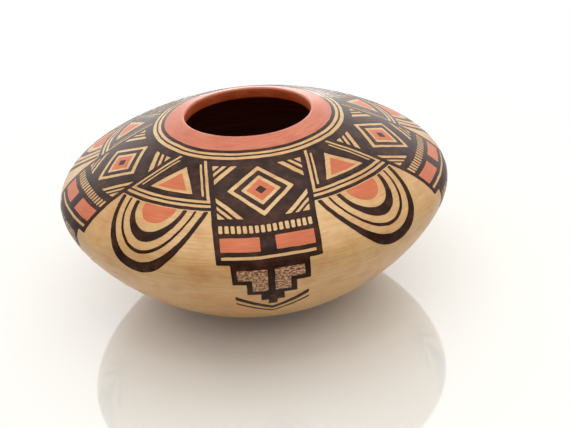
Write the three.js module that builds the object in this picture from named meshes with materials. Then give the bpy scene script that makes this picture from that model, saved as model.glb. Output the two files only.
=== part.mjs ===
// A coil-built pottery seed jar: a wide, lens-shaped vessel with a small mouth and a flat resting base.
// Millimetres, +Z up, the origin at the centre of the face that the jar stands on.
//
// The clay is laid up in the order a potter uses. A base is pressed in a shallow bowl, ropes of clay are
// laid on it course by course, each one pinched over the inner edge of the course below so that they meet
// in a slanting lap, and a last, thicker course is turned in and rounded as the lip. Every course is one
// revolved section between two stations of the same outer and inner curves, so neighbours share their
// joint face exactly and the wall runs on smoothly from one to the next.

import * as THREE from "three";

// The outside of the jar
const BELLY_RADIUS = 120;
const BELLY_HEIGHT = 72.5;
const RIM_HEIGHT = 116.5;
const MOUTH_RADIUS = 38.5; // to the inner face of the lip
const BASE_RADIUS = 39; // the flat that the jar stands on

// How the outside curve leaves the base, swells at the belly and closes over the shoulder
const BASE_SLOPE = 9; // degrees above level, where the wall leaves the resting flat
const SHOULDER_SLOPE = 17; // degrees above level, where the shoulder meets the lip
const BASE_REACH = 36; // each reach is how far the curve's control point lies along that slope
const LOWER_BELLY_REACH = 21;
const UPPER_BELLY_REACH = 17;
const SHOULDER_REACH = 34;

// The thickness of the clay
const BASE_THICKNESS = 7;
const WALL_THICKNESS = 5.5;
const LIP_THICKNESS = 6.8;
const LIP_ROUND = 1.2; // radius of the lip's upper and lower edge
const BASE_TAPER = 45; // length of wall over which the base thins to the wall
const LIP_TAPER = 28; // length of wall over which the wall thickens to the lip

// The courses of clay
const MOULDED_RISE = 36; // length of wall that the moulded base brings with it
const COURSES = 11; // ropes of clay about as thick as a finger, the last of them the rim's
const JOINT_LAP = 3; // how far the inner edge of a joint lies below its outer edge

// How finely the curves are stepped
const STEPS_AROUND = 64;
const OUTER_STEPS = 4; // on each course
const INNER_STEPS = 2;
const BASE_STEPS = 5;
const RIM_STEPS = 5;
const ROUND_STEPS = 4; // on each rounded edge of the lip

const CLAY = { color: 0xd6a976, roughness: 0.5, metalness: 0 };
const RED_SLIP = { color: 0xc4674a, roughness: 0.45, metalness: 0 };

const radians = THREE.MathUtils.degToRad;
const shoulderSlope = radians(SHOULDER_SLOPE);

// The centre of the lip's rounded upper edge; the shoulder runs into it along its slope.
const lipCentre = new THREE.Vector2(MOUTH_RADIUS + LIP_ROUND, RIM_HEIGHT - LIP_ROUND);
const lipNormal = new THREE.Vector2(Math.sin(shoulderSlope), Math.cos(shoulderSlope));
const shoulderEnd = lipCentre.clone().addScaledVector(lipNormal, LIP_ROUND);

// The outside, from the edge of the resting flat up over the belly to the lip. x is the radius, y the height.
function outsideCurve() {
  const baseSlope = radians(BASE_SLOPE);
  const curve = new THREE.Path();
  curve.moveTo(BASE_RADIUS, 0);
  curve.bezierCurveTo(
    BASE_RADIUS + BASE_REACH * Math.cos(baseSlope), BASE_REACH * Math.sin(baseSlope),
    BELLY_RADIUS, BELLY_HEIGHT - LOWER_BELLY_REACH,
    BELLY_RADIUS, BELLY_HEIGHT,
  );
  curve.bezierCurveTo(
    BELLY_RADIUS, BELLY_HEIGHT + UPPER_BELLY_REACH,
    shoulderEnd.x + SHOULDER_REACH * Math.cos(shoulderSlope),
    shoulderEnd.y - SHOULDER_REACH * Math.sin(shoulderSlope),
    shoulderEnd.x, shoulderEnd.y,
  );
  return curve;
}

const outside = outsideCurve();
const wallLength = outside.getLength();

// The thickness of the clay at a station, which is a length along the outside from the base.
function thicknessAt(station) {
  const belowTaper = 1 - THREE.MathUtils.smoothstep(station, 0, BASE_TAPER);
  const aboveTaper = THREE.MathUtils.smoothstep(station, wallLength - LIP_TAPER, wallLength);
  return WALL_THICKNESS
    + (BASE_THICKNESS - WALL_THICKNESS) * belowTaper
    + (LIP_THICKNESS - WALL_THICKNESS) * aboveTaper;
}

function outerPoint(station) {
  return outside.getPointAt(station / wallLength);
}

// The point on the inside, straight through the wall from a station on the outside.
function innerPoint(station) {
  const along = outside.getTangentAt(station / wallLength);
  const inward = new THREE.Vector2(-along.y, along.x);
  return outerPoint(station).addScaledVector(inward, thicknessAt(station));
}

// Evenly spaced points from one station to another, on the outside or on the inside.
function wallPoints(pointAt, from, to, steps) {
  return Array.from({ length: steps + 1 }, (_, i) => pointAt(from + ((to - from) * i) / steps));
}

// The points of a rounded edge of the lip. Angles are in degrees from the outward radius, anticlockwise.
function roundedEdge(centre, fromAngle, toAngle) {
  return Array.from({ length: ROUND_STEPS + 1 }, (_, i) => {
    const angle = radians(fromAngle + ((toAngle - fromAngle) * i) / ROUND_STEPS);
    return new THREE.Vector2(
      centre.x + LIP_ROUND * Math.cos(angle),
      centre.y + LIP_ROUND * Math.sin(angle),
    );
  });
}

function revolve(name, section, finish) {
  const geometry = new THREE.LatheGeometry(section, STEPS_AROUND);
  geometry.rotateX(Math.PI / 2); // the lathe's axis becomes +Z
  const mesh = new THREE.Mesh(geometry, new THREE.MeshStandardMaterial(finish));
  mesh.name = name;
  return mesh;
}

// The pressed base: a flat floor and the first stretch of wall, up to its first lap.
function mouldedBase() {
  const outer = wallPoints(outerPoint, 0, MOULDED_RISE, BASE_STEPS);
  const inner = wallPoints(innerPoint, MOULDED_RISE - JOINT_LAP, 0, BASE_STEPS);
  const floorHeight = inner[inner.length - 1].y;
  const section = [new THREE.Vector2(0, 0), ...outer, ...inner, new THREE.Vector2(0, floorHeight)];
  return revolve("moulded_base", section, CLAY);
}

// One course of the wall, a ring whose section has a slanting lap at its foot and at its top.
function wallCourse(name, from, to) {
  const outer = wallPoints(outerPoint, from, to, OUTER_STEPS);
  const inner = wallPoints(innerPoint, to - JOINT_LAP, from - JOINT_LAP, INNER_STEPS);
  return revolve(name, [...outer, ...inner, outer[0]], CLAY);
}

// The last course, turned in over the shoulder and ending in the lip's upright inner face.
function rimCourse(from) {
  const lipDrop = (LIP_THICKNESS - 2 * LIP_ROUND) / Math.cos(shoulderSlope);
  const lowerCentre = lipCentre.clone().sub(new THREE.Vector2(0, lipDrop));
  const outer = wallPoints(outerPoint, from, wallLength, RIM_STEPS);
  const upperEdge = roundedEdge(lipCentre, 90 - SHOULDER_SLOPE, 180).slice(1);
  const lowerEdge = roundedEdge(lowerCentre, 180, 270 - SHOULDER_SLOPE);
  const inner = wallPoints(innerPoint, wallLength - JOINT_LAP, from - JOINT_LAP, RIM_STEPS);
  return revolve("rim_coil", [...outer, ...upperEdge, ...lowerEdge, ...inner, outer[0]], RED_SLIP);
}

const jar = new THREE.Group();
jar.add(mouldedBase());

const courseRise = (wallLength - MOULDED_RISE) / COURSES;
for (let course = 1; course < COURSES; course++) {
  const from = MOULDED_RISE + (course - 1) * courseRise;
  const name = "wall_coil_" + String(course).padStart(2, "0");
  jar.add(wallCourse(name, from, from + courseRise));
}
jar.add(rimCourse(wallLength - courseRise));

export default jar;
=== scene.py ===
# A coil-built seed jar: stone-polished buff clay, a red slip collar round the mouth and a band of
# brown-black brushwork over the shoulder. Metres, in the frame of the part: +Z up the jar's axis,
# the origin at the centre of the face that it stands on.

import bisect
import math

import bmesh
import bpy
from mathutils import Matrix, Vector, geometry, noise


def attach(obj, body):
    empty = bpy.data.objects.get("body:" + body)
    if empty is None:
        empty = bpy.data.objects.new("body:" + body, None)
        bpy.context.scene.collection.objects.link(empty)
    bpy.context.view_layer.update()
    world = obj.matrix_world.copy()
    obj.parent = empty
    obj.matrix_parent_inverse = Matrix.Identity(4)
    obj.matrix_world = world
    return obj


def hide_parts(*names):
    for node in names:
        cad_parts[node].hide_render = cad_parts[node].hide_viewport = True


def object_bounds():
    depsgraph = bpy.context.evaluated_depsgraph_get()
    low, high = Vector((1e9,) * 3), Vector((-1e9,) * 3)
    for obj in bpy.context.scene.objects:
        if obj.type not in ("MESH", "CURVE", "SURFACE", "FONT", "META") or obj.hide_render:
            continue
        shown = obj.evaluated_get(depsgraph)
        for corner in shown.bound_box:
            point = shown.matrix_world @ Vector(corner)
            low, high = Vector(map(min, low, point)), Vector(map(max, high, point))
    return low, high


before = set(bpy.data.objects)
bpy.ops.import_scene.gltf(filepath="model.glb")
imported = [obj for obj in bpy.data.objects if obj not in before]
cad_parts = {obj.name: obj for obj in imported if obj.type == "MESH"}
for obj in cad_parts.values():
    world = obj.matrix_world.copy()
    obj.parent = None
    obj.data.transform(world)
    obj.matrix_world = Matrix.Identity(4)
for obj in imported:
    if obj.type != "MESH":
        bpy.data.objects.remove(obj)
cad_low, cad_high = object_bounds()

MM = 0.001

# The camera, at the photograph's viewing angle. The foot is the centre of the jar's resting face.
LENS = 63.16  # mm
CAMERA_ELEVATION = 27.76
CAMERA_ROLL = -4.46
FOOT_FROM_LENS = Vector((-14.7, -39.9, -661.6)) * MM  # right, up and behind the lens

# The outside of the jar. The belly and the rim take their size from the part.
BELLY_RADIUS = cad_high.x
RIM_HEIGHT = cad_high.z
BELLY_HEIGHT = 72.5 * MM
MOUTH_RADIUS = 38.5 * MM
BASE_RADIUS = 39 * MM
BASE_SLOPE = math.radians(9)
SHOULDER_SLOPE = math.radians(17)
BASE_REACH = 36 * MM  # each reach is how far a control point of the curve lies along its slope
LOWER_BELLY_REACH = 21 * MM
UPPER_BELLY_REACH = 17 * MM
SHOULDER_REACH = 34 * MM

# The thickness of the clay
BASE_THICKNESS = 7 * MM
WALL_THICKNESS = 5.5 * MM
LIP_THICKNESS = 6.8 * MM
LIP_ROUND = 1.2 * MM
BASE_TAPER = 45 * MM
LIP_TAPER = 28 * MM

# How far the hand-built wall wanders from a true turned one
WANDER = 0.3 * MM
WANDER_LENGTH = 55 * MM
FLAT_FOOT = 12 * MM  # the wandering starts from nothing over this height

# How finely the wall is stepped
STEPS_AROUND = 256
WALL_STEP = 1.25 * MM
INSIDE_STEP = 3.2 * MM
FLOOR_STEP = 6 * MM  # on the jar's floor, inside and outside
ROUND_STEPS = 6
CURVE_STEPS = 600
WELD = 0.001 * MM  # points of a spun wall that lie closer than this are one point
SHARP_EDGE = math.radians(50)

# The coats of colour, each a thin skin that is sunk a little way into the clay
SLIP_LIFT = 0.05 * MM
PAINT_LIFT = 0.10 * MM
RING_LIFT = 0.13 * MM
COAT_THICKNESS = 0.22 * MM
COAT_WELD = 0.02 * MM  # points of a coat that lie closer than this are one point
COLLAR = 12.6 * MM  # how far the red slip runs down the shoulder, to under the first ring

# The brush's unsteadiness: a slow drift of the hand and the quick ripple of a yucca brush's edge
DRIFT = 0.55 * MM
DRIFT_LENGTH = 19 * MM
RIPPLE = 0.2 * MM
RIPPLE_LENGTH = 4.2 * MM

# Without a seed of its own, Blender's noise differs from one run to the next.
HAND_SEED = 5
noise.seed_set(HAND_SEED)

# The room's light, on the scale where a white wall that just shows white is 1
OVERHEAD_RADIANCE = 1.68
OVERHEAD_PLACE = Vector((0.07, -0.28, 1.1))
OVERHEAD_SIDE = 1.8
OVERHEAD_EDGE = (0.60, 0.86)  # cosines of the angles over which its edge fades in what is glossy
WALL_LIGHT = 0.22  # what the white walls give the jar
DIM_SIDE = 0.4  # the side of the room behind the camera, as what is glossy shows it
DIM_REACH = (-0.6, 0.1)  # it turns white between these; -1 is towards the camera, 1 away from it
FAR_GLOW = 0.8  # what the lit wall behind the jar adds
FAR_REACH = (0.35, 0.85)  # where the glow starts and where it is full, on the same scale
LAMP_AIM = (0, 0, 0.08)  # on the jar's axis, just above the belly

# The floor, a polished sheet that fades into the white of the room away from the jar
FLOOR_HALF = 4.0
FLOOR_GAP = 0.1 * MM  # below the foot
FLOOR_WHITE = "#dcd8cb"
MIRROR_SHARE = 0.22
FADE_START = 0.0
FADE_END = 0.39

# The painting repeats five times round the jar, with one pendant near the camera.
REPEATS = 5
FRONT = math.radians(-90)
PATTERN_TURN = math.radians(4)


def outside_curve():
    """The outside, as (radius, height), from the shoulder's edge at the lip down to the foot's edge."""
    lip_centre = Vector((MOUTH_RADIUS + LIP_ROUND, RIM_HEIGHT - LIP_ROUND))
    edge = lip_centre + LIP_ROUND * Vector((math.sin(SHOULDER_SLOPE), math.cos(SHOULDER_SLOPE)))
    belly = Vector((BELLY_RADIUS, BELLY_HEIGHT))
    foot = Vector((BASE_RADIUS, 0))
    down_shoulder = Vector((math.cos(SHOULDER_SLOPE), -math.sin(SHOULDER_SLOPE)))
    up_wall = Vector((math.cos(BASE_SLOPE), math.sin(BASE_SLOPE)))
    up = Vector((0, 1))
    upper = geometry.interpolate_bezier(
        edge, edge + SHOULDER_REACH * down_shoulder,
        belly + UPPER_BELLY_REACH * up, belly, CURVE_STEPS,
    )
    lower = geometry.interpolate_bezier(
        belly, belly - LOWER_BELLY_REACH * up,
        foot + BASE_REACH * up_wall, foot, CURVE_STEPS,
    )
    return upper + lower[1:]


def arc(centre, radius, start, end, steps):
    """Points on an arc. The angles are in radians, anticlockwise from the first axis."""
    angles = [start + (end - start) * i / steps for i in range(steps + 1)]
    return [centre + radius * Vector((math.cos(a), math.sin(a))) for a in angles]


class Skin:
    """The jar's outside as a path from the shoulder's edge, where the lip begins to turn over."""

    def __init__(self, points):
        self.points = points
        self.lengths = [0.0]
        for a, b in zip(points, points[1:]):
            self.lengths.append(self.lengths[-1] + (b - a).length)
        self.length = self.lengths[-1]

    def at(self, down):
        """The point that lies a length down the wall, and the way that the wall faces there."""
        i = min(max(bisect.bisect_right(self.lengths, down) - 1, 0), len(self.points) - 2)
        a, b = self.points[i], self.points[i + 1]
        along = (b - a).normalized()
        point = a + along * (down - self.lengths[i])
        return point, Vector((-along.y, along.x))

    def radius(self, down):
        return self.at(down)[0].x

    def place(self, angle, down, lift):
        """A point in space at an angle round the jar, a length down its wall and a lift above it."""
        point, facing = self.at(down)
        lifted = point + facing * lift
        return Vector((lifted.x * math.cos(angle), lifted.x * math.sin(angle), lifted.y))


skin = Skin(outside_curve())
# The length down the wall to where it is widest, and the centres of the lip's two rounded edges
belly_down = min(skin.lengths, key=lambda down: abs(skin.radius(down) - BELLY_RADIUS))
lip_top = Vector((MOUTH_RADIUS + LIP_ROUND, RIM_HEIGHT - LIP_ROUND))
lip_low = lip_top - Vector((0, (LIP_THICKNESS - 2 * LIP_ROUND) / math.cos(SHOULDER_SLOPE)))


def smoothstep(value, low, high):
    t = min(max((value - low) / (high - low), 0), 1)
    return t * t * (3 - 2 * t)


def thickness_at(down):
    up_from_foot = skin.length - down
    below = 1 - smoothstep(up_from_foot, 0, BASE_TAPER)
    above = smoothstep(up_from_foot, skin.length - LIP_TAPER, skin.length)
    base_extra = (BASE_THICKNESS - WALL_THICKNESS) * below
    lip_extra = (LIP_THICKNESS - WALL_THICKNESS) * above
    return WALL_THICKNESS + base_extra + lip_extra


def shaped_by_hand(point):
    """The same small wandering for the clay and for every coat on it, so that they stay together."""
    free = smoothstep(point.z, 0, FLAT_FOOT)
    return point + noise.noise_vector(point / WANDER_LENGTH) * WANDER * free


def linear(hex_colour):
    """An sRGB hex colour as linear red, green, blue and alpha."""
    channels = [int(hex_colour[i:i + 2], 16) / 255 for i in (1, 3, 5)]
    return [c / 12.92 if c <= 0.04045 else ((c + 0.055) / 1.055) ** 2.4 for c in channels] + [1]


def add(tree, kind, values=None, links=None, **settings):
    """Adds a node with its settings, the values of its inputs and the outputs it is linked from."""
    node = tree.nodes.new(kind)
    for name, value in settings.items():
        setattr(node, name, value)
    for socket, value in (values or {}).items():
        node.inputs[socket].default_value = value
    for socket, source in (links or {}).items():
        tree.links.new(source, node.inputs[socket])
    return node


def ramp(tree, source, stops):
    """A colour ramp over a value, from (position, hex colour) stops."""
    node = add(tree, "ShaderNodeValToRGB", links={"Fac": source})
    elements = node.color_ramp.elements
    while len(elements) < len(stops):
        elements.new(0.5)
    for element, (position, colour) in zip(elements, stops):
        element.position = position
        element.color = linear(colour)
    return node.outputs["Color"]


def remap(tree, value, start, end, low=0.0, high=1.0, kind="LINEAR"):
    """A value stretched so that start gives low and end gives high, and held at those beyond them."""
    return add(
        tree, "ShaderNodeMapRange", interpolation_type=kind,
        values={"From Min": start, "From Max": end, "To Min": low, "To Max": high},
        links={"Value": value},
    ).outputs["Result"]


def multiplied(tree, colour, tint):
    return add(
        tree, "ShaderNodeMix", data_type="RGBA", blend_type="MULTIPLY",
        values={"Factor": 1.0}, links={"A": colour, "B": tint},
    ).outputs["Result"]


def blend(tree, factor, first, second):
    """One value mixed with a share of another."""
    return add(
        tree, "ShaderNodeMix", data_type="FLOAT",
        values={"Factor": factor}, links={"A": first, "B": second},
    ).outputs["Result"]


def relief(tree, height, strength, distance, under=None):
    """Fine relief from a height, on top of the relief under it if there is any."""
    links = {"Height": height}
    if under:
        links["Normal"] = under
    values = {"Strength": strength, "Distance": distance}
    return add(tree, "ShaderNodeBump", values=values, links=links).outputs["Normal"]


def attribute(tree, name, output="Vector"):
    return add(tree, "ShaderNodeAttribute", attribute_name=name).outputs[output]


def object_place(tree):
    return add(tree, "ShaderNodeTexCoord").outputs["Object"]


def part_of(tree, vector, axis):
    return add(tree, "ShaderNodeSeparateXYZ", links={"Vector": vector}).outputs[axis]


def new_material(name):
    material = bpy.data.materials.new(name)
    material.use_nodes = True
    tree = material.node_tree
    tree.nodes.clear()
    output = add(tree, "ShaderNodeOutputMaterial")
    return material, tree, output.inputs["Surface"]


def fired_surface(tree, surface, values=None, links=None):
    """Ends a material as fired clay, or a coat fired on with it."""
    settings = {"IOR": 1.5}
    settings.update(values or {})
    shader = add(tree, "ShaderNodeBsdfPrincipled", values=settings, links=links)
    tree.links.new(shader.outputs["BSDF"], surface)


def grain(tree, vector, size, detail=2.0, roughness=0.5):
    """Noise stretched to the real size of its grain along each axis of the vector."""
    stretched = add(
        tree, "ShaderNodeMapping",
        values={"Scale": [1 / side for side in size]},
        links={"Vector": vector},
    )
    return add(
        tree, "ShaderNodeTexNoise",
        values={"Scale": 1.0, "Detail": detail, "Roughness": roughness},
        links={"Vector": stretched.outputs["Vector"]},
    ).outputs["Fac"]


def polished_clay():
    """Earthenware rubbed with a smooth stone before firing. The stone leaves level streaks of
    slightly different tone and gloss, and faint facets between them. The firing leaves slow blushes of
    buff and orange and a few dark specks, and the colour is a little darker and warmer low on the wall."""
    material, tree, surface = new_material("stone_polished_earthenware")
    wall = attribute(tree, "wall")
    place = object_place(tree)

    blush = grain(tree, place, [70 * MM] * 3, detail=2.5)
    colour = ramp(tree, blush, [(0.30, "#c89b63"), (0.50, "#d0aa73"), (0.72, "#d9b783")])
    down = part_of(tree, wall, "Z")
    low_on_wall = remap(tree, down, 50 * MM, 110 * MM, kind="SMOOTHSTEP")
    colour = multiplied(tree, colour, ramp(tree, low_on_wall, [(0.0, "#ffffff"), (1.0, "#faf3ed")]))
    mottle = grain(tree, wall, [0.10, 0.10, 8 * MM], detail=4.0, roughness=0.6)
    colour = multiplied(tree, colour, ramp(tree, mottle, [(0.46, "#ffffff"), (0.74, "#efd8c2")]))
    streaks = grain(tree, wall, [0.2, 0.2, 1.2 * MM], detail=4.0, roughness=0.65)
    colour = multiplied(tree, colour, ramp(tree, streaks, [(0.30, "#e9dfd4"), (0.64, "#ffffff")]))

    speck_cells = add(
        tree, "ShaderNodeTexVoronoi", values={"Scale": 1 / (5.5 * MM), "Randomness": 1.0},
        links={"Vector": place},
    ).outputs["Distance"]
    specks = ramp(tree, speck_cells, [(0.035, "#ffffff"), (0.06, "#000000")])
    speckled = add(
        tree, "ShaderNodeMix", data_type="RGBA",
        values={"B": linear("#8a5e3c")}, links={"Factor": specks, "A": colour},
    ).outputs["Result"]

    gloss = remap(tree, streaks, 0.3, 0.7, low=0.26, high=0.42)
    facets = grain(tree, wall, [0.35, 0.35, 4.5 * MM], detail=1.0)
    streaked = relief(tree, streaks, strength=0.35, distance=0.02 * MM)
    faceted = relief(tree, facets, strength=0.5, distance=0.12 * MM, under=streaked)
    fired_surface(
        tree, surface, links={"Base Color": speckled, "Roughness": gloss, "Normal": faceted},
    )
    return material


def scraped_clay():
    """The inside, scraped with a gourd rind and never polished: matt, with level scrape marks. Its colour
    is darker and browner than the outside's, partly the unpolished clay and partly painted shade in the
    deep hollow.
    """
    material, tree, surface = new_material("scraped_earthenware_and_hollow_shade")
    scrapes = grain(tree, attribute(tree, "wall"), [0.3, 0.3, 2.2 * MM], detail=3.0, roughness=0.65)
    # Darker and browner than the outside clay: partly the unpolished inside, partly painted shade in the
    # deep hollow.
    colour = ramp(tree, scrapes, [(0.32, "#7a452e"), (0.68, "#9c5f44")])
    scraped = relief(tree, scrapes, strength=0.6, distance=0.25 * MM)
    fired_surface(tree, surface, {"Roughness": 0.85}, {"Base Color": colour, "Normal": scraped})
    return material


def brushed_slip(name, follows, strokes, thick, middling, thin):
    """Iron-red clay slip, brushed on and polished over. Each stroke of the brush leaves a streak,
    paler where the coat is thin and the clay shows through. Down the inside of the mouth it is browner:
    partly the coat left unpolished there, partly painted shade where the lip turns into the hollow. The
    colours are those of the coat where it is thick, middling and thin, and the strokes run along the
    attribute that the brush follows."""
    material, tree, surface = new_material(name)
    brushed = attribute(tree, follows)
    streaks = grain(tree, brushed, strokes, detail=3.0, roughness=0.6)
    clouds = grain(tree, object_place(tree), [14 * MM] * 3, detail=1.5)
    both = blend(tree, 0.4, streaks, clouds)
    coat = ramp(tree, both, [(0.34, thick), (0.50, middling), (0.68, thin)])
    # Browner down the inside of the mouth: partly the coat left unpolished there, partly painted shade
    # where the lip turns into the hollow.
    unpolished_and_shaded_mouth = remap(tree, part_of(tree, brushed, "Z"), -1.5 * MM, -4.5 * MM)
    colour = multiplied(tree, coat, ramp(tree, unpolished_and_shaded_mouth, [(0.0, "#ffffff"), (1.0, "#ffd8a4")]))
    gloss = remap(tree, streaks, 0.3, 0.7, low=0.36, high=0.50)
    streaked = relief(tree, streaks, strength=0.4, distance=0.03 * MM)
    fired_surface(
        tree, surface, links={"Base Color": colour, "Roughness": gloss, "Normal": streaked},
    )
    return material


def mineral_paint():
    """Brown-black paint of boiled plant juice and ground iron ore, laid on with a yucca brush. The
    outlines are drawn first and are nearly black; the filling inside them is thinner, browner and
    patchy. Low on the wall the paint is rubbed less, so it mirrors less of the room and looks darker."""
    material, tree, surface = new_material("brushed_mineral_paint")
    stroke = attribute(tree, "stroke")
    bristles = grain(tree, stroke, [16 * MM, 0.9 * MM, 1.0], detail=2.0)
    pools = grain(tree, object_place(tree), [7 * MM] * 3, detail=2.0)
    coat = blend(tree, 0.82, bristles, pools)
    thinness = add(
        tree, "ShaderNodeMath", operation="MULTIPLY_ADD",
        values={1: 0.16}, links={0: attribute(tree, "filling", "Fac"), 2: coat},
    ).outputs["Value"]
    colour = ramp(tree, thinness, [(0.38, "#1d0d07"), (0.58, "#2b160d"), (0.84, "#452a1d")])
    gloss = remap(tree, coat, 0.3, 0.7, low=0.20, high=0.30)
    streaked = relief(tree, bristles, strength=0.25, distance=0.03 * MM)
    down = part_of(tree, stroke, "Y")
    rubbed = remap(tree, down, 45 * MM, 95 * MM, low=0.12, high=0.05)
    fired_surface(tree, surface, links={
        "Base Color": colour, "Roughness": gloss, "Specular IOR Level": rubbed, "Normal": streaked,
    })
    return material


def dabbed_paint():
    """The same paint dabbed on with the end of a chewed brush, so that clay shows between the dabs."""
    material, tree, surface = new_material("dabbed_mineral_paint")
    dabs = grain(
        tree, attribute(tree, "stroke"), [1.7 * MM, 1.1 * MM, 0.3], detail=3.0, roughness=0.7,
    )
    colour = ramp(tree, dabs, [(0.44, "#c79c6c"), (0.50, "#8a5638"), (0.58, "#4a2a1c")])
    dabbed = relief(tree, dabs, strength=0.4, distance=0.05 * MM)
    fired_surface(tree, surface, {"Roughness": 0.45}, {"Base Color": colour, "Normal": dabbed})
    return material


def finish_piece(bm, name, materials, nodes=()):
    """Turns a mesh into a piece of the jar, smooth but for the thin edges of its coat."""
    mesh = bpy.data.meshes.new(name)
    bm.to_mesh(mesh)
    bm.free()
    for material in materials:
        mesh.materials.append(material)
    mesh.shade_smooth()
    mesh.set_sharp_from_angle(angle=SHARP_EDGE)
    piece = bpy.data.objects.new(name, mesh)
    bpy.context.scene.collection.objects.link(piece)
    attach(piece, "root")
    if nodes:
        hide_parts(*nodes)
    return piece


def revolve(section, closed):
    """Spins a section round the jar's axis. A section is a list of (point, length down the wall)."""
    bm = bmesh.new()
    down = bm.verts.layers.float.new("down")
    verts = []
    for point, length in section:
        vert = bm.verts.new((point.x, 0, point.y))
        vert[down] = length
        verts.append(vert)
    pairs = list(zip(verts, verts[1:]))
    if closed:
        pairs.append((verts[-1], verts[0]))
    edges = [bm.edges.new(pair) for pair in pairs]
    bmesh.ops.spin(
        bm, geom=verts + edges, cent=(0, 0, 0), axis=(0, 0, 1), dvec=(0, 0, 0),
        angle=math.tau, steps=STEPS_AROUND, use_merge=True,
    )
    bmesh.ops.remove_doubles(bm, verts=bm.verts[:], dist=WELD)
    bmesh.ops.recalc_face_normals(bm, faces=bm.faces[:])
    wall = bm.verts.layers.float_vector.new("wall")
    for vert in bm.verts:
        flat = Vector((vert.co.x, vert.co.y))
        around = flat.normalized() if flat.length > MM else Vector((0, 0))
        vert[wall] = (around.x, around.y, vert[down])
        vert.co = shaped_by_hand(vert.co)
    return bm


def evenly(start, end, step):
    count = max(1, round(abs(end - start) / step))
    return [start + (end - start) * i / count for i in range(count + 1)]


def lip_points(swell):
    """The rounded lip from the shoulder's edge over the crest and down the mouth to its lower edge."""
    quarter = math.pi / 2
    top = arc(lip_top, LIP_ROUND + swell, quarter - SHOULDER_SLOPE, 2 * quarter, ROUND_STEPS)
    low = arc(lip_low, LIP_ROUND + swell, 2 * quarter, 3 * quarter - SHOULDER_SLOPE, ROUND_STEPS)
    return top, low


def vessel():
    """The clay, from the middle of the foot up the outside, over the lip and down inside to the floor."""
    outside = [(skin.at(d)[0], d) for d in evenly(skin.length, 0, WALL_STEP)]
    top, low = lip_points(0)
    mouth = [(point, 0.0) for point in top[1:] + low]
    inside = []
    for d in evenly(0, skin.length, INSIDE_STEP)[1:]:
        point, facing = skin.at(d)
        inside.append((point - facing * thickness_at(d), d))
    floor_height = inside[-1][0].y
    foot = [
        (Vector((r, 0)), skin.length + BASE_RADIUS - r)
        for r in evenly(0, BASE_RADIUS, FLOOR_STEP)[:-1]
    ]
    floor = [
        (Vector((r, floor_height)), skin.length + BASE_RADIUS - r)
        for r in evenly(inside[-1][0].x, 0, FLOOR_STEP)[1:]
    ]
    bm = revolve(foot + outside + mouth + inside + floor, closed=False)
    # The inside is what lies under the mouth's lower edge and faces into the hollow.
    for face in bm.faces:
        centre = face.calc_center_median()
        into_hollow = face.normal.dot(centre - Vector((0, 0, BELLY_HEIGHT))) < 0
        if into_hollow and centre.z < lip_low.y:
            face.material_index = 1
    nodes = ["moulded_base", "rim_coil"]
    nodes += [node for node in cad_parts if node.startswith("wall_coil_")]
    return finish_piece(bm, "clay_jar", [polished_clay(), scraped_clay()], nodes)


def slip_collar():
    """The red slip round the mouth: over the lip, down its inner face and out to the first ring."""
    sunk = SLIP_LIFT - COAT_THICKNESS
    section = []
    for lift, order in ((SLIP_LIFT, 1), (sunk, -1)):
        top, low = lip_points(lift)
        shoulder = []
        for d in evenly(COLLAR, 0, WALL_STEP)[:-1]:
            point, facing = skin.at(d)
            shoulder.append((point + facing * lift, d))
        mouth = [(top[0], 0.0)]
        for point in top[1:] + low:
            before, length = mouth[-1]
            mouth.append((point, length - (point - before).length))
        section += (shoulder + mouth)[::order]
    bm = revolve(section, closed=True)
    material = brushed_slip(
        "brushed_red_slip_collar", "wall", [0.22, 0.22, 1.5 * MM], "#a84f32", "#b65e3d", "#c27151",
    )
    return finish_piece(bm, "slip_collar", [material])


# Outlines of the painting are loops of (across, down) points in millimetres. Across is measured from the
# middle of the motif, and down from the edge of the lip along the wall.

def rectangle(left, right, top, bottom):
    return [(left, top), (right, top), (right, bottom), (left, bottom)]


def lozenge(middle, half_width, half_height):
    top, bottom = middle - half_height, middle + half_height
    return [(0, top), (half_width, middle), (0, bottom), (-half_width, middle)]


def mirrored(loop):
    return [(-across, down) for across, down in reversed(loop)]


def both_sides(half):
    """A loop that is the same on both sides, from its right half read from the top to the bottom."""
    return half + mirrored(half)


def half_ellipse(middle, half_width, drop):
    """Points along a half ellipse that hangs from a level line, from its right end to its left."""
    steps = 32
    angles = [math.pi * i / steps for i in range(steps + 1)]
    return [(half_width * math.cos(a), middle + drop * math.sin(a)) for a in angles]


def crescent(middle, outer, inner):
    """A hanging arc, thickest at the bottom, between two half ellipses given as (half width, drop)."""
    return half_ellipse(middle, *outer) + half_ellipse(middle, *inner)[::-1]


def softened(loop, cut):
    """The loop with its sharp corners cut short, as a brush turns them."""
    if not cut:
        return loop
    nearly_straight = math.radians(150)
    result = []
    count = len(loop)
    for i, corner in enumerate(loop):
        here = Vector(corner)
        before = Vector(loop[i - 1]) - here
        after = Vector(loop[(i + 1) % count]) - here
        if before.angle(after, math.pi) > nearly_straight:
            result.append(corner)
            continue
        reach = min(cut, before.length / 3, after.length / 3)
        result.append(tuple(here + before.normalized() * reach))
        result.append(tuple(here + (before.normalized() + after.normalized()) * reach * 0.3))
        result.append(tuple(here + after.normalized() * reach))
    return result


# In millimetres too: what is cut from a sharp corner, how far apart the cuts lie that let a flat outline
# bend round the wall, and how far above the belly they begin to lie closer.
BRUSH_TURN = 0.5
PAINT_CELL = 2.4
BELLY_CELL = 1.3
ABOVE_BELLY = 25


def cut_mesh(bm, place, normal):
    everything = bm.verts[:] + bm.edges[:] + bm.faces[:]
    bmesh.ops.bisect_plane(bm, geom=everything, dist=1e-5, plane_co=place, plane_no=normal)


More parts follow.
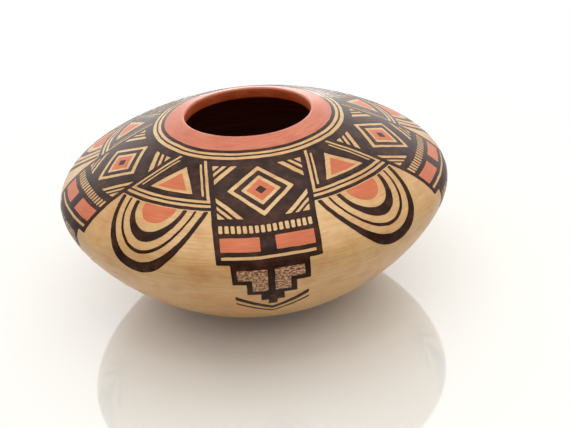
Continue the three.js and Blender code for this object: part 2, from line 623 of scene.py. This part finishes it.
def flat_shape(loops, corner_cut):
    """A flat mesh in millimetres, filled between the loops; a loop inside another is left bare."""
    bm = bmesh.new()
    for loop in loops:
        verts = [bm.verts.new((across, -down, 0)) for across, down in softened(loop, corner_cut)]
        for pair in zip(verts, verts[1:] + verts[:1]):
            bm.edges.new(pair)
    bmesh.ops.triangle_fill(
        bm, use_beauty=True, use_dissolve=False, edges=bm.edges[:], normal=(0, 0, 1),
    )
    across = [vert.co.x for vert in bm.verts]
    down = [-vert.co.y for vert in bm.verts]
    for x in evenly(min(across), max(across), PAINT_CELL)[1:-1]:
        cut_mesh(bm, (x, 0, 0), (1, 0, 0))
    near_belly = max(down) > belly_down / MM - ABOVE_BELLY
    for d in evenly(min(down), max(down), BELLY_CELL if near_belly else PAINT_CELL)[1:-1]:
        cut_mesh(bm, (0, -d, 0), (0, 1, 0))
    return bm


def painted(name, loops, start, lift, material, corner_cut=BRUSH_TURN):
    """Paints the loops once for each repeat round the jar. Start is 0 in line with the pendants and
    0.5 halfway between two of them. Each repeat has its own number in the attribute that the strokes
    follow, so no two have the same streaks."""
    bm = flat_shape(loops, corner_cut)
    filling = bm.verts.layers.float.new("filling")
    for vert in bm.verts:
        vert[filling] = 0.0 if vert.is_boundary else 1.0
    stroke = bm.verts.layers.float_vector.new("stroke")
    wall = bm.verts.layers.float_vector.new("wall")
    first = bm.verts[:] + bm.edges[:] + bm.faces[:]
    copies = [bm.verts[:]]
    for _ in range(1, REPEATS):
        made = bmesh.ops.duplicate(bm, geom=first)["geom"]
        copies.append([part for part in made if isinstance(part, bmesh.types.BMVert)])
    for number, verts in enumerate(copies):
        middle = FRONT + PATTERN_TURN + math.tau * (number + start) / REPEATS
        for vert in verts:
            across, down = vert.co.x * MM, -vert.co.y * MM
            angle = middle + across / skin.radius(down)
            spot = skin.place(angle, down, 0)
            shake = noise.noise_vector(spot / DRIFT_LENGTH) * DRIFT
            shake += noise.noise_vector(spot / RIPPLE_LENGTH) * RIPPLE
            down += shake.y
            angle += shake.x / skin.radius(down)
            vert[stroke] = (across, down, number)
            vert[wall] = (math.cos(angle), math.sin(angle), down)
            vert.co = shaped_by_hand(skin.place(angle, down, lift))
    bmesh.ops.remove_doubles(bm, verts=bm.verts[:], dist=COAT_WELD)
    bmesh.ops.recalc_face_normals(bm, faces=bm.faces[:])
    bmesh.ops.solidify(bm, geom=bm.faces[:], thickness=COAT_THICKNESS)
    bmesh.ops.recalc_face_normals(bm, faces=bm.faces[:])
    return finish_piece(bm, name, [material])


def share_of_ring(top, bottom):
    """One repeat's share of a ring round the jar; the shares close up."""
    half_angle = math.pi / REPEATS
    wide_top = half_angle * skin.radius(top * MM) / MM
    wide_bottom = half_angle * skin.radius(bottom * MM) / MM
    return both_sides([(wide_top, top), (wide_bottom, bottom)])


# The rings round the collar: (top, bottom) of each
RINGS = ((11.6, 13.8), (15.8, 16.9), (19.2, 20.8))

# The pendant: a panel that steps down to a point under the belly. Each step is (half width, bottom).
PENDANT_TOP = 20.2  # under the last ring
PENDANT_HALF = 28.5
PENDANT_STEPS = ((28.5, 88.5), (21.0, 101.0), (13.5, 110.5), (6.2, 118.0), (2.4, 124.0))
PANEL_MARGIN = 3.2  # of paint between the panel's edge and what is left bare in it
BARE_HALF = PENDANT_HALF - PANEL_MARGIN
LOZENGE_PANEL = (24.4, 62.4)  # (top, bottom), here and below
LOZENGE_MIDDLE = 43.4
LOZENGES = ((18.4, 18.0), (14.9, 14.6), (10.9, 10.7))  # (half width, half height) of one in the other
RED_LOZENGE = (8.0, 7.8)
LOZENGE_HEART = (3.1, 3.0)
LADDER = (66.6, 71.4)  # a row of bare cells
RED_BARS = (74.0, 82.0)
RED_BAR_START = 4.2  # from the panel's middle
BARE_LINE = (84.4, 86.0)
STEM_HALF = 1.9  # of the stem between the two dabbed windows
WINDOW_TOP, WINDOW_STEP, WINDOW_BOTTOM = 91.6, 98.0, 107.4
WINDOW_WIDE, WINDOW_NARROW = 17.9, 10.4  # how far a window reaches out above and below its step
UNDER = 0.6  # how far a colour runs on under the black round it

# The two V strokes under the pendant's tip: (top, weight) of each
CHEVRONS = ((112.0, 4.4), (120.6, 2.0))
CHEVRON_HALF = 20.0
CHEVRON_RISE = 17.0
TIP_HALF = 0.01  # a sharp tip is a very short level line

# The bridge between two pendants, and the swag that hangs under it
BRIDGE_MARGIN = 1.8
BRIDGE_BOTTOM = 50.0
RAIL = 1.4
RAIL_ENDS = (24.0, 47.4)
TRIANGLE_WINDOW = [(TIP_HALF, 27.6), (14.4, 46.4)]  # (half width, down) at its tip and at its foot
RED_TRIANGLE = [(TIP_HALF, 32.6), (9.6, 44.6)]
TIES = ((51.8, 53.0), (54.8, 57.0))
TIE_REACH = 1.2  # how far the ties run on under the pendants
SWAG_LINE = 57.6
SWAGS = (  # (half width, drop) of each one's outer and inner edge
    ((29.2, 40.0), (26.6, 33.6)),
    ((22.6, 29.0), (21.3, 27.0)),
    ((17.2, 22.4), (14.6, 16.6)),
)
SWAG_HEART = (10.6, 11.4)


def pendant_outline():
    half = [(PENDANT_HALF, PENDANT_TOP)]
    for (width, bottom), (next_width, _) in zip(PENDANT_STEPS, PENDANT_STEPS[1:]):
        half += [(width, bottom), (next_width, bottom)]
    half.append(PENDANT_STEPS[-1])
    return both_sides(half)


def corner_bands(side, edge, toward):
    """Bare bands across a corner of the panel, one behind another, from a small triangle outwards."""
    reach_across, reach_down = 14.2, 14.6
    triangle_share = 0.30
    band_shares = ((0.43, 0.60), (0.75, 1.0))
    corner = side * BARE_HALF

    def ends(share):
        on_edge = (corner - side * reach_across * share, edge)
        on_side = (corner, edge + toward * reach_down * share)
        return on_edge, on_side

    triangle = [(corner, edge), *ends(triangle_share)]
    bands = [[*ends(near), *ends(far)[::-1]] for near, far in band_shares]
    return [triangle, *bands]


def ladder_cells():
    """The bare cells of a ladder; the paint left between them is its rungs."""
    cells = 16
    rung = 1.1
    pitch = (2 * BARE_HALF + rung) / cells
    lefts = [-BARE_HALF + pitch * i for i in range(cells)]
    return [rectangle(left, left + pitch - rung, *LADDER) for left in lefts]


def dabbed_windows(grow):
    """The two stepped windows in the pendant's terraces, made larger all round by grow."""
    left, top = STEM_HALF - grow, WINDOW_TOP - grow
    wide, narrow = WINDOW_WIDE + grow, WINDOW_NARROW + grow
    step, bottom = WINDOW_STEP + grow, WINDOW_BOTTOM + grow
    stepped_side = [(wide, top), (wide, step), (narrow, step), (narrow, bottom)]
    right = [(left, top), *stepped_side, (left, bottom)]
    return [right, mirrored(right)]


def pendant_loops():
    loops = [pendant_outline()]
    loops += [lozenge(LOZENGE_MIDDLE, *size) for size in LOZENGES]
    top, bottom = LOZENGE_PANEL
    for side in (1, -1):
        loops += corner_bands(side, top, 1)
        loops += corner_bands(side, bottom, -1)
    loops += ladder_cells()
    loops.append(rectangle(RED_BAR_START, BARE_HALF, *RED_BARS))
    loops.append(rectangle(-BARE_HALF, -RED_BAR_START, *RED_BARS))
    loops.append(rectangle(-BARE_HALF, BARE_HALF, *BARE_LINE))
    return loops + dabbed_windows(0)


def pendant_red_loops():
    top, bottom = RED_BARS
    right_bar = rectangle(RED_BAR_START - UNDER, BARE_HALF + UNDER, top - UNDER, bottom + UNDER)
    return [lozenge(LOZENGE_MIDDLE, *RED_LOZENGE), right_bar, mirrored(right_bar)]


def chevron(top, weight):
    tip = top + CHEVRON_RISE
    right_half = [(CHEVRON_HALF, top), (CHEVRON_HALF, top + weight), (TIP_HALF, tip + weight)]
    return both_sides(right_half) + [(0, tip)]


def gap_half(down):
    """Half the width between two pendants, at a length down the wall."""
    return math.pi / REPEATS * skin.radius(down * MM) / MM - PENDANT_HALF


def bridge_side(down, inset):
    return gap_half(down) - BRIDGE_MARGIN - inset, down


def bridge_loops():
    """The panel between two pendants: a bare rail along each side and a window for a red triangle."""
    outline = both_sides([bridge_side(PENDANT_TOP, 0), bridge_side(BRIDGE_BOTTOM, 0)])
    top, bottom = RAIL_ENDS
    rail = [bridge_side(top, RAIL), bridge_side(bottom, RAIL)]
    rail += [bridge_side(bottom, 2 * RAIL), bridge_side(top, 2 * RAIL)]
    return [outline, rail, mirrored(rail), both_sides(TRIANGLE_WINDOW)]


def tie_loops():
    return [both_sides([(gap_half(down) + TIE_REACH, down) for down in tie]) for tie in TIES]


def painting():
    """The painted pieces, each at 0 in line with the pendants or at 0.5 between two of them."""
    paint = mineral_paint()
    dabs = dabbed_paint()
    slip = brushed_slip(
        "brushed_red_slip_bars", "stroke", [18 * MM, 1.1 * MM, 1.0], "#aa4b22", "#b8592a", "#c46c3c",
    )
    rings = [share_of_ring(*ring) for ring in RINGS]
    hearts = [lozenge(LOZENGE_MIDDLE, *LOZENGE_HEART)]
    triangles = [both_sides(RED_TRIANGLE)]
    swags = [crescent(SWAG_LINE, *edges) for edges in SWAGS]
    swag_hearts = [half_ellipse(SWAG_LINE, *SWAG_HEART)]
    chevrons = [chevron(*stroke) for stroke in CHEVRONS]
    painted("painted_rings", rings, 0, RING_LIFT, paint, corner_cut=0)
    painted("painted_pendants", pendant_loops(), 0, PAINT_LIFT, paint)
    painted("dabbed_terraces", dabbed_windows(UNDER), 0, SLIP_LIFT, dabs)
    painted("red_pendant_panels", pendant_red_loops(), 0, SLIP_LIFT, slip)
    painted("painted_lozenge_hearts", hearts, 0, PAINT_LIFT, paint)
    painted("painted_bridges", bridge_loops(), 0.5, PAINT_LIFT, paint)
    painted("red_bridge_triangles", triangles, 0.5, SLIP_LIFT, slip)
    painted("painted_tie_lines", tie_loops(), 0.5, SLIP_LIFT, paint)
    painted("painted_swags", swags, 0.5, PAINT_LIFT, paint)
    painted("red_swag_hearts", swag_hearts, 0.5, SLIP_LIFT, slip)
    painted("painted_chevrons", chevrons, 0, PAINT_LIFT, paint)


def studio_camera():
    data = bpy.data.cameras.new("camera")
    data.lens = LENS
    camera = bpy.data.objects.new("camera", data)
    turn = Matrix.Rotation(math.radians(90 - CAMERA_ELEVATION), 4, "X")
    turn @= Matrix.Rotation(math.radians(CAMERA_ROLL), 4, "Z")
    camera.matrix_world = Matrix.Translation(-(turn @ FOOT_FROM_LENS)) @ turn
    bpy.context.scene.collection.objects.link(camera)
    bpy.context.scene.camera = camera


def softbox(name, radiance, size, place, aim=LAMP_AIM, in_gloss=True):
    """A flat, even light, whose radiance is on the scale of the room's light. Without in_gloss, what is
    glossy doesn't show it, so it leaves no square in the polished floor."""
    width, height = size
    data = bpy.data.lights.new(name, "AREA")
    data.shape = "RECTANGLE"
    data.size = width
    data.size_y = height
    data.energy = radiance * math.pi * width * height
    light = bpy.data.objects.new(name, data)
    light.visible_glossy = in_gloss
    facing = (Vector(aim) - Vector(place)).to_track_quat("-Z", "Y")
    light.matrix_world = Matrix.Translation(place) @ facing.to_matrix().to_4x4()
    bpy.context.scene.collection.objects.link(light)


def combined(tree, first, second, operation="ADD"):
    links = {0: first, 1: second}
    return add(tree, "ShaderNodeMath", operation=operation, links=links).outputs["Value"]


def white_room():
    """The walls are plain white to the camera and through what is clear, and light the jar less than
    that. What is glossy shows them white as well, but dimmer on the side behind the camera, which lies
    further from the lamps, and shows the overhead softbox as a patch with soft edges, as its cloth has.
    The far wall is lit and adds a glow."""
    world = bpy.data.worlds.new("studio")
    world.use_nodes = True
    tree = world.node_tree
    tree.nodes.clear()
    path = add(tree, "ShaderNodeLightPath").outputs
    direction = add(tree, "ShaderNodeTexCoord").outputs["Generated"]
    far_to_near = part_of(tree, direction, "Y")
    upward = add(
        tree, "ShaderNodeVectorMath", operation="DOT_PRODUCT",
        values={1: OVERHEAD_PLACE.normalized()}, links={0: direction},
    ).outputs["Value"]

    walls = remap(tree, far_to_near, *DIM_REACH, DIM_SIDE, 1.0, "SMOOTHSTEP")
    overhead = remap(tree, upward, *OVERHEAD_EDGE, 0.0, OVERHEAD_RADIANCE, "SMOOTHSTEP")
    far_glow = remap(tree, far_to_near, *FAR_REACH, 0.0, FAR_GLOW, "SMOOTHSTEP")
    lighting = add(
        tree, "ShaderNodeMix", data_type="FLOAT", values={"A": WALL_LIGHT},
        links={"Factor": path["Is Glossy Ray"], "B": combined(tree, walls, overhead)},
    ).outputs["Result"]
    seen = combined(tree, path["Is Camera Ray"], path["Is Transmission Ray"], "MAXIMUM")
    strength = add(
        tree, "ShaderNodeMix", data_type="FLOAT", values={"B": 1.0},
        links={"Factor": seen, "A": combined(tree, lighting, far_glow)},
    ).outputs["Result"]
    background = add(
        tree, "ShaderNodeBackground", values={"Color": (1, 1, 1, 1)}, links={"Strength": strength},
    )
    output = add(tree, "ShaderNodeOutputWorld")
    tree.links.new(background.outputs["Background"], output.inputs["Surface"])
    bpy.context.scene.world = world


def studio():
    """A white room with a large softbox overhead, a bright window low in the far wall, a softbox high
    on each side and a small lamp on the ceiling."""
    white_room()
    softbox(
        "overhead_softbox", radiance=OVERHEAD_RADIANCE, size=(OVERHEAD_SIDE, OVERHEAD_SIDE),
        place=OVERHEAD_PLACE, aim=(OVERHEAD_PLACE.x, OVERHEAD_PLACE.y, 0), in_gloss=False,
    )
    softbox(
        "window_strip", radiance=4.0, size=(0.46, 0.34), place=(0, 1.2, 0.18), aim=(0, 0, 0.1),
    )
    softbox(
        "ceiling_lamp", radiance=40.0, size=(0.07, 0.05), place=(0, -0.42, 1.04), aim=(0, -0.1, 0.08),
    )
    softbox(
        "left_softbox", radiance=2.2, size=(0.46, 0.46), place=(-0.95, 0.4, 0.85), in_gloss=False,
    )
    softbox(
        "right_softbox", radiance=1.4, size=(0.6, 0.6), place=(1.0, 0.3, 0.7), in_gloss=False,
    )


def white_acrylic():
    """A polished white sheet. It mirrors the jar sharply. To the camera and in what is glossy it also
    glows white, a painted glow that grows from the jar's axis outwards, so that it lightens the jar's
    shadow near it and far from the jar the sheet is plain white.
    """
    material, tree, surface = new_material("polished_white_acrylic_sheet")
    body = add(tree, "ShaderNodeBsdfDiffuse", values={"Color": linear(FLOOR_WHITE)})
    polish = add(tree, "ShaderNodeBsdfGlossy", values={"Color": (1, 1, 1, 1), "Roughness": 0.05})
    sheet = add(
        tree, "ShaderNodeMixShader", values={0: MIRROR_SHARE},
        links={1: body.outputs["BSDF"], 2: polish.outputs["BSDF"]},
    )
    from_jar = add(
        tree, "ShaderNodeVectorMath", operation="LENGTH", links={0: object_place(tree)},
    ).outputs["Value"]
    # Painted glow: a share of plain white that grows from the jar's axis outwards, lightening the jar's
    # shadow near it and turning the far floor plain white.
    fade = remap(tree, from_jar, FADE_START, FADE_END, kind="SMOOTHSTEP")
    path = add(tree, "ShaderNodeLightPath").outputs
    seen = path["Is Camera Ray"]
    for way in ("Is Glossy Ray", "Is Transmission Ray"):
        seen = combined(tree, seen, path[way], "MAXIMUM")
    share = combined(tree, fade, seen, "MULTIPLY")
    white = add(tree, "ShaderNodeEmission", values={"Color": (1, 1, 1, 1), "Strength": 1.0})
    mixed = add(
        tree, "ShaderNodeMixShader",
        links={0: share, 1: sheet.outputs["Shader"], 2: white.outputs["Emission"]},
    )
    tree.links.new(mixed.outputs["Shader"], surface)
    return material


def floor():
    bm = bmesh.new()
    bmesh.ops.create_grid(bm, x_segments=1, y_segments=1, size=FLOOR_HALF)
    bmesh.ops.translate(bm, verts=bm.verts[:], vec=(0, 0, -FLOOR_GAP))
    mesh = bpy.data.meshes.new("floor")
    bm.to_mesh(mesh)
    bm.free()
    mesh.materials.append(white_acrylic())
    sheet = bpy.data.objects.new("floor", mesh)
    bpy.context.scene.collection.objects.link(sheet)


studio_camera()
studio()
floor()
vessel()
slip_collar()
painting()

bpy.context.scene.view_settings.view_transform = "Standard"
